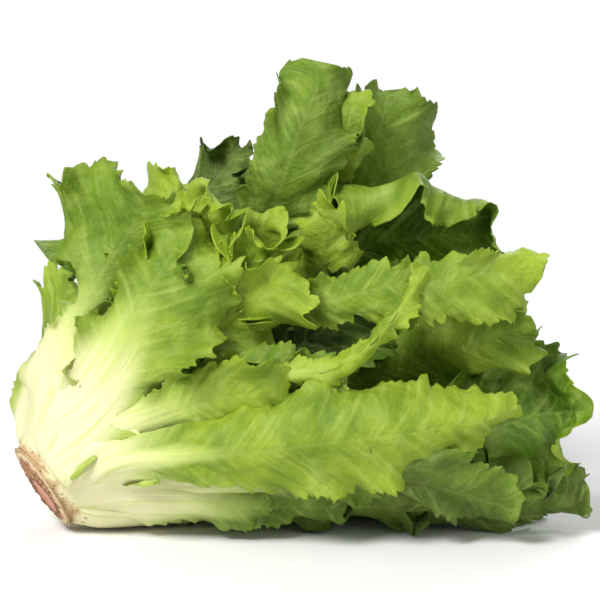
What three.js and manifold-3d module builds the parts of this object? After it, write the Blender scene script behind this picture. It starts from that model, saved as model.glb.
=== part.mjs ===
// Batavia lettuce, one whole head lying on its side. Millimetres, +Z up.
// The head grows from a cut stump along an axis that points to the right, a little back and up.
// Every leaf is a thin closed body of its own: a stalk that wraps the core, and a wide blade that
// follows its midrib. The leaves are set from the outside in, with a small gap between neighbours.
import * as THREE from "three";
import Module from "manifold-3d";

const wasm = await Module();
wasm.setup();

// ---- driving dimensions ----------------------------------------------------------------------
const CUT_CENTRE = [-127, -50, 22]; // middle of the cut face of the stump
const AXIS = [0.8, 0.31, 0.51]; // direction in which the head grows
const CORE_LENGTH = 104;
const CORE_RADIUS = 16; // at the cut face
const CORE_TIP_RADIUS = 2;
const CORE_SIDES = 24;
const CORE_RINGS = 7;
const CUT_DOME = 1.5; // the cut face is slightly rounded

const BLADE_THICKNESS = 0.9;
const STALK_THICKNESS = [2.8, 4.4]; // extra thickness at the foot of a leaf, in layers 0 and 1
const LAYER_STEP = 4.6; // layer 1 stands this far off the core
const RIB_THICKNESS = 3.2; // extra thickness along the midrib, where it is fullest
const RIB_WIDTH = 7;
const RIB_START = 0.12; // how far up the leaf the rib is fullest
const SHOULDER_RISE = 8; // every leaf first follows the core this far
const SHOULDER_REACH = 3; // while it moves away from it this far
const STALK_END = 0.5; // how far up the leaf the stalk thins out
const STALK_WRAP = [0.06, 0.5]; // a stalk follows the roundness of the head up to here, then lets go
const LEAST_WRAP_RADIUS = 7;
const CUP_START = [0.12, 0.5]; // how far up the leaf its sides begin to bend
const LIP_PLACE = [0.6, 0.82]; // the lip bends between these parts of the way to the margin
const NECK_WIDTH = 0.2; // length of a narrow neck, as part of the way to the widest place
const TIP_SQUARENESS = 2.6; // 2 is an elliptic tip
const GAP = 0.3; // between neighbouring leaves
const SIMPLIFY = 0.1; // details smaller than this are smoothed away
const FLOOR_SOFTNESS = 3; // how gently a blade flattens where it meets the surface below

const MIDRIB_SAMPLES = 80;
const ROWS = 8; // along half a leaf
const COLUMNS = 3; // from midrib to margin
const TURN_STEPS = 12; // for adding up the bend across a blade

// ---- leaves ----------------------------------------------------------------------------------
// azimuth: place around the core in degrees (0 front, 90 top, 180 back, 270 bottom).
// height: where the leaf leaves the core. layer: 1 for the leaves whose feet lie over their neighbours.
// path: midrib points after the foot. face and tip: where the inner face looks, at half and full length.
// length and lean: for a leaf without a path, its length and its angle to the axis at foot and tip.
// width: half widths of the two sides. base: half width of the foot.
// cup and lip: bend of each side in degrees, inwards over the whole side and outwards near its margin.
// blunt: how far along the leaf is widest. square: more than 2 gives a flatter tip.
// flare: above 1 the blade widens later.
// waist: how much the stalk narrows between foot and blade. neck: where it does, half way by default.
const OUTER_LEAVES = [
  {
    name: "front_leaf", azimuth: -10, height: 4, layer: 1,
    path: [
      [-90, -82, 42], [-56, -94, 48], [-20, -101, 51], [15, -104, 56], [65, -100, 62],
      [110, -87, 68],
    ],
    face: [0, 0.97, 0.15],
    width: [31, 29], base: 5, cup: [88, 20], blunt: 0.64, square: 1.7, flare: 1.6,
  },
  {
    name: "upper_front_leaf", azimuth: 54, height: 2, layer: 1,
    path: [[-110, -72, 64], [-95, -80, 86], [-80, -84, 112], [-67, -80, 136], [-58, -70, 160]],
    face: [0.35, 0.85, 0.1],
    width: [22, 42], base: 18, cup: [25, 20], blunt: 0.7, flare: 2.2,
  },
  {
    name: "left_back_leaf", azimuth: 126, height: 2, layer: 1,
    path: [[-137, -22, 54], [-132, -12, 68], [-126, -8, 80], [-120, -8, 100], [-114, -12, 124]],
    face: [0.6, 0.5, -0.1],
    width: [22, 26], base: 10, cup: [10, 10], blunt: 0.75,
  },
  {
    name: "back_low_leaf", azimuth: 204, height: 2, layer: 1, length: 210, lean: [26, 38],
    width: [46, 46], base: 11, cup: [30, 30], blunt: 0.68,
  },
  {
    name: "bottom_leaf", azimuth: 278, height: 2, layer: 1, length: 238, lean: [33, 37],
    width: [44, 40], base: 11, cup: [10, 10], blunt: 0.66,
  },
  {
    name: "front_low_leaf", azimuth: -48, height: 2,
    path: [[-93, -68, 21], [-62, -76, 22], [-35, -80, 21], [-14, -80, 19]],
    face: [0, 0.92, 0.25],
    width: [15, 17], base: 12, cup: [25, 30], blunt: 0.86,
  },
  {
    name: "front_upper_leaf", azimuth: 10, height: 2,
    path: [[-95, -78, 52], [-70, -86, 63], [-45, -91, 71], [-22, -93, 76], [-4, -92, 76]],
    face: [0, 0.95, 0.2],
    width: [20, 22], base: 12, cup: [25, 25], blunt: 0.9, flare: 4, waist: 0.25,
  },
  {
    name: "top_outer_leaf", azimuth: 78, height: 2,
    path: [
      [-126, -56, 60], [-125, -62, 80], [-115, -64, 99], [-103, -62, 120], [-93, -60, 138],
      [-84, -65, 156], [-78, -75, 173],
    ],
    face: [0.35, 0.9, -0.1], tip: [0.3, 0.9, 0.3],
    width: [43, 40], base: 14, cup: [10, 10], blunt: 0.84, flare: 5, waist: 0.72, neck: 0.66,
  },
  {
    name: "back_outer_leaf", azimuth: 166, height: 3, length: 180, lean: [20, 42],
    width: [42, 42], base: 10, cup: [30, 30], blunt: 0.7,
  },
  {
    name: "bottom_back_leaf", azimuth: 240, height: 3, length: 228, lean: [35, 42],
    width: [47, 47], base: 10, cup: [12, 20], blunt: 0.66,
  },
];

const SECOND_WHORL = [
  {
    name: "low_front_leaf", azimuth: -60, height: 12,
    path: [[-77, -62, 18], [-42, -70, 20], [0, -74, 21], [24, -72, 18]],
    face: [0, 0.85, 0.45],
    width: [16, 13], base: 10, cup: [10, 10], blunt: 0.78,
  },
  {
    name: "front_upper_inner_leaf", azimuth: 10, height: 24,
    path: [[-72, -72, 60], [-40, -78, 70], [-5, -80, 76], [22, -78, 82]],
    face: [0, 0.95, 0.2],
    width: [24, 22], base: 9, cup: [20, 30], flare: 2.5,
  },
  {
    name: "ruffled_leaf_left", azimuth: 66, height: 20,
    path: [[-98, -50, 86], [-82, -50, 118], [-68, -48, 150], [-56, -42, 176]],
    face: [0.35, 0.85, -0.1], tip: [0.3, 0.5, 0.4],
    width: [24, 26], base: 10, cup: [10, 10], blunt: 0.7,
  },
  {
    name: "ruffled_leaf_middle", azimuth: 44, height: 28,
    path: [[-80, -54, 92], [-62, -58, 122], [-46, -60, 150], [-38, -66, 170]],
    face: [0.3, 0.9, 0], tip: [0.2, 0.6, 0.4],
    width: [26, 26], base: 9, cup: [20, 10], blunt: 0.7,
  },
  {
    name: "ruffled_leaf_right", azimuth: 26, height: 36,
    path: [[-64, -56, 86], [-40, -62, 112], [-22, -64, 138], [-10, -70, 160]],
    face: [0.3, 0.9, 0], tip: [0.2, 0.6, 0.4],
    width: [26, 26], base: 8, cup: [20, 10], blunt: 0.7,
  },
  {
    name: "ruffled_leaf_low", azimuth: 16, height: 32,
    path: [[-70, -66, 76], [-45, -72, 98], [-20, -76, 117], [2, -76, 128]],
    face: [0.2, 0.95, 0],
    width: [24, 24], base: 8, cup: [15, 10], blunt: 0.7,
  },
  {
    name: "dark_top_leaf", azimuth: 104, height: 20,
    path: [[-98, -10, 95], [-68, 2, 135], [-41, 8, 165], [-25, 6, 188]],
    face: [0.4, 0.8, -0.2],
    width: [24, 24], base: 10, cup: [10, 10], blunt: 0.7,
  },
  {
    name: "low_fold_leaf", azimuth: -34, height: 22,
    path: [[-58, -74, 28], [0, -88, 33], [60, -93, 33], [106, -89, 17]],
    face: [0, 0.85, 0.45],
    width: [20, 17], base: 9, cup: [20, 20], blunt: 0.7,
  },
  {
    name: "low_tip_leaf", azimuth: -68, height: 20,
    path: [[-60, -60, 18], [0, -62, 17], [70, -62, 16], [146, -54, 19]],
    face: [0, 0.8, 0.6],
    width: [24, 24], base: 9, cup: [10, 10], blunt: 0.7,
  },
];

const UPPER_LEAVES = [
  {
    name: "small_leaf_left", azimuth: 58, height: 34,
    path: [[-88, -56, 100], [-72, -64, 130], [-64, -68, 150], [-60, -68, 174]],
    face: [0.2, -0.9, 0.2],
    width: [15, 14], base: 5, cup: [30, 30], blunt: 0.75,
  },
  {
    name: "small_leaf_middle", azimuth: 40, height: 44,
    path: [[-66, -58, 96], [-50, -68, 118], [-42, -74, 132], [-30, -80, 144]],
    face: [0, -0.8, 0.5],
    width: [14, 13], base: 5, cup: [30, 30], blunt: 0.75,
  },
  {
    name: "small_leaf_right", azimuth: 30, height: 50,
    path: [[-50, -52, 96], [-34, -64, 120], [-24, -74, 140], [-14, -78, 160]],
    face: [0, -0.9, 0.2],
    width: [11, 13], base: 4, cup: [30, 30], blunt: 0.75,
  },
  {
    name: "right_curl_leaf", azimuth: 350, height: 86,
    path: [
      [-34, -60, 78], [-10, -84, 85], [12, -90, 88], [31, -90, 97], [46, -89, 112],
      [56, -87, 126], [62, -82, 142],
    ],
    face: [0.2, 0.9, -0.3],
    width: [6, 6], base: 4, cup: [40, 70], blunt: 0.7, flare: 0.6,
  },
  {
    name: "top_leaf_left", azimuth: 78, height: 42,
    path: [
      [-58, -18, 105], [-28, -30, 142], [-10, -40, 168], [-3, -42, 184], [2, -40, 201],
      [7, -34, 217], [10, -26, 231],
    ],
    face: [-0.2, 0.95, 0.1],
    width: [20, 28], base: 8, cup: [20, 10], blunt: 0.92, square: 5, flare: 2.6,
  },
  {
    name: "top_leaf_middle", azimuth: 112, height: 40,
    path: [
      [-45, 10, 110], [-8, -6, 143], [14, -20, 165], [21, -25, 187], [26, -22, 207],
      [31, -18, 217],
    ],
    face: [-0.1, 1, 0],
    width: [14, 12], base: 8, cup: [10, 10], blunt: 0.75,
  },
  {
    name: "top_leaf_right", azimuth: 72, height: 56,
    path: [
      [-40, 0, 105], [0, -4, 140], [25, -10, 160], [33, -10, 180], [40, -8, 200],
      [46, -2, 217],
    ],
    face: [0, 1, 0],
    width: [20, 34], base: 7, cup: [10, 20], blunt: 0.9, flare: 2,
  },
  {
    name: "right_upper_leaf", azimuth: 120, height: 62,
    path: [[-40, -6, 90], [0, -10, 116], [34, -14, 134], [66, -16, 142], [101, -18, 147]],
    face: [0, -0.9, -0.4],
    width: [30, 58], base: 6, cup: [20, 20], lip: [0, -100], blunt: 0.8, flare: 0.8,
  },
  {
    name: "right_band_leaf", azimuth: 20, height: 60,
    path: [
      [-32, -38, 90], [0, -62, 114], [22, -76, 122], [50, -80, 129], [78, -76, 131],
      [100, -72, 131], [119, -68, 130],
    ],
    face: [0, 0.95, -0.1],
    width: [12, 23], base: 6, cup: [15, 15], blunt: 0.97, square: 6, flare: 3,
  },
  {
    name: "right_scoop_leaf", azimuth: 155, height: 54,
    path: [[-50, -42, 74], [-12, -56, 86], [8, -58, 100], [28, -58, 112], [44, -60, 126]],
    face: [0, -0.95, 0.1],
    width: [26, 26], base: 6, cup: [15, 15], blunt: 0.75, flare: 0.8,
  },
  {
    name: "right_middle_leaf", azimuth: 10, height: 52,
    path: [[-30, -26, 64], [10, -10, 66], [45, -14, 74], [78, -44, 92], [115, -58, 107]],
    face: [0, 0.95, 0.1],
    width: [24, 26], base: 6, cup: [20, 10], blunt: 0.86, flare: 4.5,
  },
  {
    name: "right_tip_leaf", azimuth: -20, height: 44,
    path: [
      [-30, -40, 48], [30, -42, 46], [85, -44, 50], [120, -42, 57], [136, -50, 60],
      [144, -60, 60],
    ],
    face: [0, -0.9, 0.2], tip: [-0.4, -0.85, 0.2],
    width: [42, 40], base: 8, cup: [80, 80], lip: [90, 90], blunt: 0.84, square: 3, flare: 3,
  },
];

const INNER_LEAVES = [
  {
    name: "back_leaf_upper", azimuth: 146, height: 22, length: 210, lean: [10, 42],
    width: [40, 40], base: 10, cup: [30, 30], blunt: 0.7,
  },
  {
    name: "back_leaf_middle", azimuth: 186, height: 24, length: 225, lean: [12, 42],
    width: [43, 43], base: 10, cup: [30, 30], blunt: 0.7,
  },
  {
    name: "back_leaf_low", azimuth: 226, height: 20, length: 228, lean: [22, 38],
    width: [44, 44], base: 10, cup: [25, 25], blunt: 0.7,
  },
  {
    name: "back_leaf_top", azimuth: 124, height: 30, length: 212, lean: [8, 30],
    width: [36, 36], base: 9, cup: [30, 30], blunt: 0.7,
  },
  {
    name: "bottom_leaf_inner", azimuth: 258, height: 22, length: 230, lean: [20, 31],
    width: [42, 42], base: 10, cup: [20, 20], blunt: 0.7,
  },
  {
    name: "inner_leaf_upper", azimuth: 164, height: 44, length: 200, lean: [6, 34],
    width: [35, 35], base: 8, cup: [30, 30], blunt: 0.7,
  },
  {
    name: "inner_leaf_top", azimuth: 132, height: 50, length: 195, lean: [4, 24],
    width: [32, 32], base: 8, cup: [30, 30], blunt: 0.7,
  },
  {
    name: "inner_leaf_back", azimuth: 212, height: 48, length: 200, lean: [8, 32],
    width: [34, 34], base: 8, cup: [30, 30], blunt: 0.7,
  },
  {
    name: "inner_leaf_low", azimuth: 258, height: 52, length: 190, lean: [8, 28],
    width: [32, 32], base: 7, cup: [30, 30], blunt: 0.7,
  },
  {
    name: "inner_leaf_front", azimuth: 306, height: 58, length: 170, lean: [4, 26],
    width: [28, 28], base: 6, cup: [30, 30], blunt: 0.7,
  },
  {
    name: "heart_leaf_upper", azimuth: 100, height: 74,
    path: [[-30, -20, 90], [-5, -36, 112], [10, -46, 132], [10, -52, 150], [4, -54, 166]],
    face: [0, 0.9, -0.2],
    width: [13, 15], base: 5, cup: [20, 20], blunt: 0.7,
  },
  {
    name: "heart_leaf_back", azimuth: 220, height: 80, length: 130, lean: [2, 22],
    width: [24, 24], base: 5, cup: [45, 45], blunt: 0.7,
  },
];

// ---- directions of the head ------------------------------------------------------------------
const vec = (p) => new THREE.Vector3(p[0], p[1], p[2]);
const cut = vec(CUT_CENTRE);
const axis = vec(AXIS).normalize();
const frontward = vec([0, -1, 0]).addScaledVector(axis, axis.y).normalize();
const upward = new THREE.Vector3().crossVectors(frontward, axis);

function around(azimuth) {
  const angle = THREE.MathUtils.degToRad(azimuth);
  return frontward.clone().multiplyScalar(Math.cos(angle)).addScaledVector(upward, Math.sin(angle));
}

function coreRadius(height) {
  const left = Math.max(0, 1 - height / CORE_LENGTH);
  return (CORE_RADIUS - CORE_TIP_RADIUS) * left ** 0.7 + CORE_TIP_RADIUS;
}

function footRadius(leaf) {
  return coreRadius(leaf.height) + GAP + (leaf.layer ?? 0) * LAYER_STEP;
}

const smooth = (from, to, x) => THREE.MathUtils.smoothstep(x, from, to);

// ---- midrib ----------------------------------------------------------------------------------
// The points that the midrib runs through, from the core outwards.
function midribPoints(leaf) {
  const out = around(leaf.azimuth);
  const foot = cut.clone()
    .addScaledVector(axis, leaf.height)
    .addScaledVector(out, footRadius(leaf));
  if (leaf.path) {
    const shoulder = foot.clone().addScaledVector(axis, SHOULDER_RISE).addScaledVector(out, SHOULDER_REACH);
    return [foot, shoulder, ...leaf.path.map(vec)];
  }
  const steps = 5;
  const points = [foot];
  for (let i = 0; i < steps; i++) {
    const along = ((i + 0.5) / steps) ** 1.4;
    const lean = THREE.MathUtils.degToRad(THREE.MathUtils.lerp(leaf.lean[0], leaf.lean[1], along));
    const next = points[i].clone()
      .addScaledVector(axis, (Math.cos(lean) * leaf.length) / steps)
      .addScaledVector(out, (Math.sin(lean) * leaf.length) / steps);
    points.push(next);
  }
  return points;
}

// Position, direction, side and inner-face direction at even steps along the midrib.
function midribFrames(leaf) {
  const curve = new THREE.CatmullRomCurve3(midribPoints(leaf), false, "centripetal");
  curve.arcLengthDivisions = 400;
  const length = curve.getLength();
  const inward = around(leaf.azimuth).negate();
  const middle = leaf.face ? vec(leaf.face).normalize() : inward;
  const end = leaf.tip ? vec(leaf.tip).normalize() : middle;
  const frames = [];
  for (let i = 0; i <= MIDRIB_SAMPLES; i++) {
    const along = i / MIDRIB_SAMPLES;
    const point = curve.getPointAt(along);
    const forward = curve.getTangentAt(along);
    const inner = inward.clone().lerp(middle, smooth(0.02, 0.5, along)).lerp(end, smooth(0.5, 1, along));
    inner.addScaledVector(forward, -inner.dot(forward)).normalize();
    const side = new THREE.Vector3().crossVectors(forward, inner);
    frames.push({ point, forward, inner, side });
  }
  return { frames, length };
}

function frameAt(midrib, distance) {
  const place = THREE.MathUtils.clamp(distance / midrib.length, 0, 1) * MIDRIB_SAMPLES;
  const index = Math.min(Math.floor(place), MIDRIB_SAMPLES - 1);
  const mix = place - index;
  const a = midrib.frames[index];
  const b = midrib.frames[index + 1];
  return {
    point: a.point.clone().lerp(b.point, mix),
    forward: a.forward.clone().lerp(b.forward, mix).normalize(),
    inner: a.inner.clone().lerp(b.inner, mix).normalize(),
    side: a.side.clone().lerp(b.side, mix).normalize(),
  };
}

// ---- blade -----------------------------------------------------------------------------------
function halfWidth(leaf, side, along) {
  const widest = leaf.blunt ?? 0.6;
  if (along <= widest) {
    const rise = smooth(0, widest, along) ** (leaf.flare ?? 1.1);
    const fromNeck = (along / widest - (leaf.neck ?? 0.5)) / NECK_WIDTH;
    const waist = 1 - (leaf.waist ?? 0) * Math.exp(-(fromNeck ** 2));
    return THREE.MathUtils.lerp(leaf.base, leaf.width[side], rise) * waist;
  }
  const over = (along - widest) / (1 - widest);
  const square = leaf.square ?? TIP_SQUARENESS;
  return leaf.width[side] * Math.max(0, 1 - over ** square) ** (1 / square);
}

// Flat outline of half a leaf: row 0 is the foot, the last row is the tip.
function marginPoint(leaf, side, length, row) {
  const widest = leaf.blunt ?? 0.6;
  const square = leaf.square ?? TIP_SQUARENESS;
  const straight = widest * length;
  const round = 0.8 * (leaf.width[side] + length - straight);
  const turn = straight / (straight + round);
  const place = row / ROWS;
  if (place < turn) {
    const along = (place / turn) * widest;
    return { x: halfWidth(leaf, side, along), y: along * length };
  }
  const angle = ((place - turn) / (1 - turn)) * (Math.PI / 2);
  return {
    x: leaf.width[side] * Math.max(0, Math.cos(angle)) ** (2 / square),
    y: straight + (length - straight) * Math.sin(angle) ** (2 / square),
  };
}

function thicknessAt(leaf, x, along) {
  const stalk = STALK_THICKNESS[leaf.layer ?? 0] * (1 - smooth(0, STALK_END, along)) ** 1.5;
  const fullness = smooth(0, RIB_START, along) * (1 - along) ** 1.5;
  const rib = RIB_THICKNESS * fullness * Math.exp(-((x / RIB_WIDTH) ** 2));
  return BLADE_THICKNESS + stalk + rib;
}

// How the blade has turned towards its inner face, in radians, by distance from the midrib.
function turnFunction(leaf, side, point, along) {
  const offAxis = point.clone().sub(cut);
  offAxis.addScaledVector(axis, -offAxis.dot(axis));
  const wrapRadius = Math.max(offAxis.length(), footRadius(leaf), LEAST_WRAP_RADIUS);
  const wrap = (1 - smooth(...STALK_WRAP, along)) / wrapRadius;
  const width = Math.max(halfWidth(leaf, side, Math.min(along, 0.985)), 4);
  const bend = smooth(...CUP_START, along);
  const cup = THREE.MathUtils.degToRad(leaf.cup[side]) * bend;
  const lip = THREE.MathUtils.degToRad(leaf.lip?.[side] ?? 0) * bend;
  return (distance) => {
    const part = Math.min(distance / width, 1.3);
    return distance * wrap + cup * part - lip * smooth(...LIP_PLACE, part);
  };
}

// Bends a flat point (x across, y along) into place. Returns the inner point and the outer point.
function placePoint(leaf, midrib, side, x, y, grow) {
  const frame = frameAt(midrib, y);
  const along = THREE.MathUtils.clamp(y / midrib.length, 0, 1);
  const across = frame.side.clone().multiplyScalar(side === 0 ? 1 : -1);
  const turnAt = turnFunction(leaf, side, frame.point, along);
  let sideways = 0;
  let raised = 0;
  for (let i = 0; i < TURN_STEPS; i++) {
    const turn = turnAt((x * (i + 0.5)) / TURN_STEPS);
    sideways += (Math.cos(turn) * x) / TURN_STEPS;
    raised += (Math.sin(turn) * x) / TURN_STEPS;
  }
  const turn = turnAt(x);
  const inward = frame.inner.clone().multiplyScalar(Math.cos(turn)).addScaledVector(across, -Math.sin(turn));
  const inner = frame.point.clone()
    .addScaledVector(frame.forward, y - THREE.MathUtils.clamp(y, 0, midrib.length))
    .addScaledVector(across, sideways)
    .addScaledVector(frame.inner, raised);
  const thickness = thicknessAt(leaf, x, along);
  inner.z = thickness + FLOOR_SOFTNESS * Math.log1p(Math.exp((inner.z - thickness) / FLOOR_SOFTNESS));
  const outer = inner.clone().addScaledVector(inward, -thickness - grow);
  inner.addScaledVector(inward, grow);
  return { inner, outer };
}

// Flat points of half a leaf, row by row from foot to tip and from midrib to margin.
function flatHalf(leaf, side, length, grow) {
  const rows = [];
  for (let row = 0; row <= ROWS; row++) {
    const margin = marginPoint(leaf, side, length, row);
    const rootY = margin.y - 0.55 * margin.x * smooth(0, 0.35, margin.y / length)
      - 0.12 * length * (row / ROWS) ** 3;
    const root = THREE.MathUtils.clamp(rootY, 0, length);
    const cells = [];
    for (let column = 0; column <= COLUMNS; column++) {
      const part = column / COLUMNS;
      const edge = column === COLUMNS ? grow : 0;
      const foot = row === 0 ? -grow : 0;
      const tip = row === ROWS ? grow * part : 0;
      cells.push({
        x: part * margin.x + edge * Math.min(1, margin.x),
        y: THREE.MathUtils.lerp(root, margin.y, part) + foot + tip,
      });
    }
    rows.push(cells);
  }
  return rows;
}

// The numbers of the points round the rim of a leaf, in order.
function rimOf(right, left) {
  const foot = right[0].slice(0, COLUMNS);
  const rightMargin = right.map((cells) => cells[COLUMNS]);
  const leftMargin = left.slice(0, ROWS).map((cells) => cells[COLUMNS]).reverse();
  const leftFoot = left[0].slice(1, COLUMNS).reverse();
  return [...foot, ...rightMargin, ...leftMargin, ...leftFoot];
}

// One leaf as a closed body. grow > 0 gives the same leaf with a skin of that thickness added.
function leafBody(leaf, grow) {
  const midrib = midribFrames(leaf);
  const inner = [];
  const outer = [];
  const [right, left] = [0, 1].map((side) =>
    flatHalf(leaf, side, midrib.length, grow).map((cells, row) =>
      cells.map((flat, column) => {
        const shared = side === 1 && (column === 0 || row === ROWS);
        if (shared) {
          return null;
        }
        const points = placePoint(leaf, midrib, side, flat.x, flat.y, grow);
        outer.push(points.outer);
        return inner.push(points.inner) - 1;
      })));
  // the two halves share the midrib, and the line where they meet beyond it at the tip
  for (let row = 0; row <= ROWS; row++) {
    for (let column = 0; column <= COLUMNS; column++) {
      left[row][column] ??= right[row][column];
    }
  }
  const count = inner.length;
  const triangles = [];
  const addFace = (a, b, c, d) => {
    triangles.push(a, b, c, a, c, d);
    triangles.push(count + a, count + c, count + b, count + a, count + d, count + c);
  };
  for (let row = 0; row < ROWS; row++) {
    for (let column = 0; column < COLUMNS; column++) {
      addFace(right[row][column], right[row][column + 1], right[row + 1][column + 1], right[row + 1][column]);
      addFace(left[row][column], left[row + 1][column], left[row + 1][column + 1], left[row][column + 1]);
    }
  }
  const rim = rimOf(right, left);
  for (let i = 0; i < rim.length; i++) {
    const from = rim[i];
    const to = rim[(i + 1) % rim.length];
    triangles.push(to, from, count + from, to, count + from, count + to);
  }
  return solid([...inner, ...outer], triangles);
}

// ---- core ------------------------------------------------------------------------------------
// A tapering stem with a slightly rounded cut face, turned round the axis of the head.
function coreBody(grow) {
  const points = [cut.clone().addScaledVector(axis, -CUT_DOME - grow)];
  const triangles = [];
  for (let ring = 0; ring <= CORE_RINGS; ring++) {
    const height = (ring / CORE_RINGS) * (CORE_LENGTH - 1);
    for (let i = 0; i < CORE_SIDES; i++) {
      const out = around((360 * i) / CORE_SIDES);
      points.push(cut.clone().addScaledVector(axis, height).addScaledVector(out, coreRadius(height) + grow));
    }
  }
  const top = points.length;
  points.push(cut.clone().addScaledVector(axis, CORE_LENGTH + grow));
  for (let i = 0; i < CORE_SIDES; i++) {
    const next = (i + 1) % CORE_SIDES;
    triangles.push(0, 1 + i, 1 + next);
    for (let ring = 0; ring < CORE_RINGS; ring++) {
      const low = 1 + ring * CORE_SIDES;
      const high = low + CORE_SIDES;
      triangles.push(low + i, high + i, high + next, low + i, high + next, low + next);
    }
    const last = 1 + CORE_RINGS * CORE_SIDES;
    triangles.push(last + i, top, last + next);
  }
  return solid(points, triangles);
}

// ---- bodies ----------------------------------------------------------------------------------
function solid(points, triangles) {
  const mesh = new wasm.Mesh({
    numProp: 3,
    vertProperties: Float32Array.from(points.flatMap((p) => [p.x, p.y, p.z])),
    triVerts: Uint32Array.from(triangles),
  });
  return new wasm.Manifold(mesh);
}

const largest = (body) => body.decompose().reduce((a, b) => (a.volume() > b.volume() ? a : b));

function overlap(a, b) {
  const p = a.boundingBox();
  const q = b.boundingBox();
  return [0, 1, 2].every((k) => p.min[k] < q.max[k] && q.min[k] < p.max[k]);
}

function toGeometry(body, shift) {
  const mesh = body.getMesh();
  const geometry = new THREE.BufferGeometry();
  geometry.setAttribute("position", new THREE.BufferAttribute(new Float32Array(mesh.vertProperties), 3));
  geometry.setIndex(new THREE.BufferAttribute(new Uint32Array(mesh.triVerts), 1));
  geometry.translate(shift.x, shift.y, shift.z);
  return geometry;
}

// ---- the head --------------------------------------------------------------------------------
const leaves = [...OUTER_LEAVES, ...SECOND_WHORL, ...UPPER_LEAVES, ...INNER_LEAVES];
const skins = [coreBody(GAP)];
const parts = [{ name: "stump", body: coreBody(0), colour: "#d8c9a0", roughness: 0.8 }];
for (const leaf of leaves) {
  const whole = leafBody(leaf, 0).trimByPlane([0, 0, 1], 0);
  const near = skins.filter((skin) => overlap(whole, skin));
  const carved = near.reduce((body, skin) => body.subtract(skin), whole);
  const body = largest(largest(carved).simplify(SIMPLIFY));
  parts.push({ name: leaf.name, body, colour: "#8fae4a", roughness: 0.6 });
  skins.push(leafBody(leaf, GAP));
}

const bounds = new THREE.Box3();
for (const part of parts) {
  const box = part.body.boundingBox();
  bounds.expandByPoint(vec(box.min)).expandByPoint(vec(box.max));
}
const middle = bounds.getCenter(new THREE.Vector3());
const shift = new THREE.Vector3(-middle.x, -middle.y, -bounds.min.z);

const head = new THREE.Group();
head.name = "batavia_lettuce";
for (const part of parts) {
  const material = new THREE.MeshStandardMaterial({
    color: part.colour,
    roughness: part.roughness,
    metalness: 0,
  });
  const mesh = new THREE.Mesh(toGeometry(part.body, shift), material);
  mesh.name = part.name;
  head.add(mesh);
}

export default head;
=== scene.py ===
"""Looks of the batavia lettuce: ruffled leaves, pale stalks and the cut stump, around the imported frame.

The leaf table and the midribs follow the CAD part, in millimetres. Here every leaf also gets its ruffles,
teeth, puckers and veins. Lengths turn into metres when a mesh is made.
"""

import math

import bpy
import numpy as np
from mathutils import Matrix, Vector


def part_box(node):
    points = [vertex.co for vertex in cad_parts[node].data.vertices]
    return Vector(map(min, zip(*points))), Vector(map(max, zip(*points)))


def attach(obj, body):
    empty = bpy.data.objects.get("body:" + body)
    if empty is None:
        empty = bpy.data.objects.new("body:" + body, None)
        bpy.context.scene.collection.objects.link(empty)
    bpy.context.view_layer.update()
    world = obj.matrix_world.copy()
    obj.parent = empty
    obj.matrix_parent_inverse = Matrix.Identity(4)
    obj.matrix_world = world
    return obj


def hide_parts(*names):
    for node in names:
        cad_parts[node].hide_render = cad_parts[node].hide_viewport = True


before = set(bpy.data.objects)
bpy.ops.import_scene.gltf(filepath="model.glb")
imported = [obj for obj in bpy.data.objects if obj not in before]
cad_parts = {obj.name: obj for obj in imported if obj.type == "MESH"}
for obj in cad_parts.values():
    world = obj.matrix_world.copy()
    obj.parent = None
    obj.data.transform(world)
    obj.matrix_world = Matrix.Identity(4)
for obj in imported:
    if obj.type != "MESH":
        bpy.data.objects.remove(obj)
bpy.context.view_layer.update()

# ---- driving dimensions, as in the CAD part ----
CUT_CENTRE = np.array([-127.0, -50.0, 22.0])
AXIS = np.array([0.8, 0.31, 0.51])
CORE_LENGTH = 104.0
CORE_RADIUS = 16.0
CORE_TIP_RADIUS = 2.0
CORE_TAPER = 0.7  # below 1 the core stays stout for longer
CUT_DOME = 1.5
GAP = 0.3
LAYER_STEP = 4.6
SHOULDER_RISE = 8.0
SHOULDER_REACH = 3.0
LEAN_STEPS = 5  # points of a midrib that is given by its length and lean
LEAN_TAPER = 1.4
CURVE_STEPS = 40  # points between two midrib points
FLOOR_SOFTNESS = 3.0
STALK_WRAP = (0.06, 0.5)  # a stalk follows the roundness of the head up to here, then lets go
LEAST_WRAP_RADIUS = 7.0
CUP_START = (0.12, 0.5)  # how far up the leaf its sides begin to bend
LIP_PLACE = (0.6, 0.82)  # the lip bends between these parts of the way to the margin
NECK_WIDTH = 0.2
TIP_SQUARENESS = 2.6
ROW_SLOPE = 0.55  # rows of the blade run from the midrib ahead to the margin, as side veins do
TIP_ROOM = 0.12  # the last row starts this far before the tip, as part of the length

# ---- looks of a leaf ----
BLADE_THICKNESS = 0.42
STALK_THICKNESS = (3.4, 5.0)  # of the inner and the outermost leaves
STALK_END = 0.5
FOOT_TAPER = 14.0
RIB_THICKNESS = 3.2
RIB_WIDTH = 6.0
RIB_START = 0.12
FINE_GRID = (210, 14)  # rows from foot to tip, columns from midrib to margin
COARSE_GRID = (130, 10)
LOBE_PITCH = 31.0
LOBE_DEPTH = 3.5
TOOTH_PITCH = 11.0
TOOTH_DEPTH = 5.2
TOOTH_RISE = 0.72  # a tooth rises slowly over this part of its length, then drops
TOOTH_SLANT = 0.35
POINT_PITCH = 4.6
POINT_DEPTH = 2.3
SLOW_WAVE = 115.0
SLOW_TURN = 28.0
MAIN_WAVE = 44.0
MAIN_TURN = 85.0
QUICK_WAVE = 17.0
QUICK_TURN = 36.0
CRIMP_WAVE = 8.5
CRIMP_TURN = 34.0
RUMPLE_SIZES = ((34.0, 8.0), (17.0, 2.6))  # width and height of uneven bumps
PUCKER_SIZES = ((13.0, 1.3), (6.5, 0.45))
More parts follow.
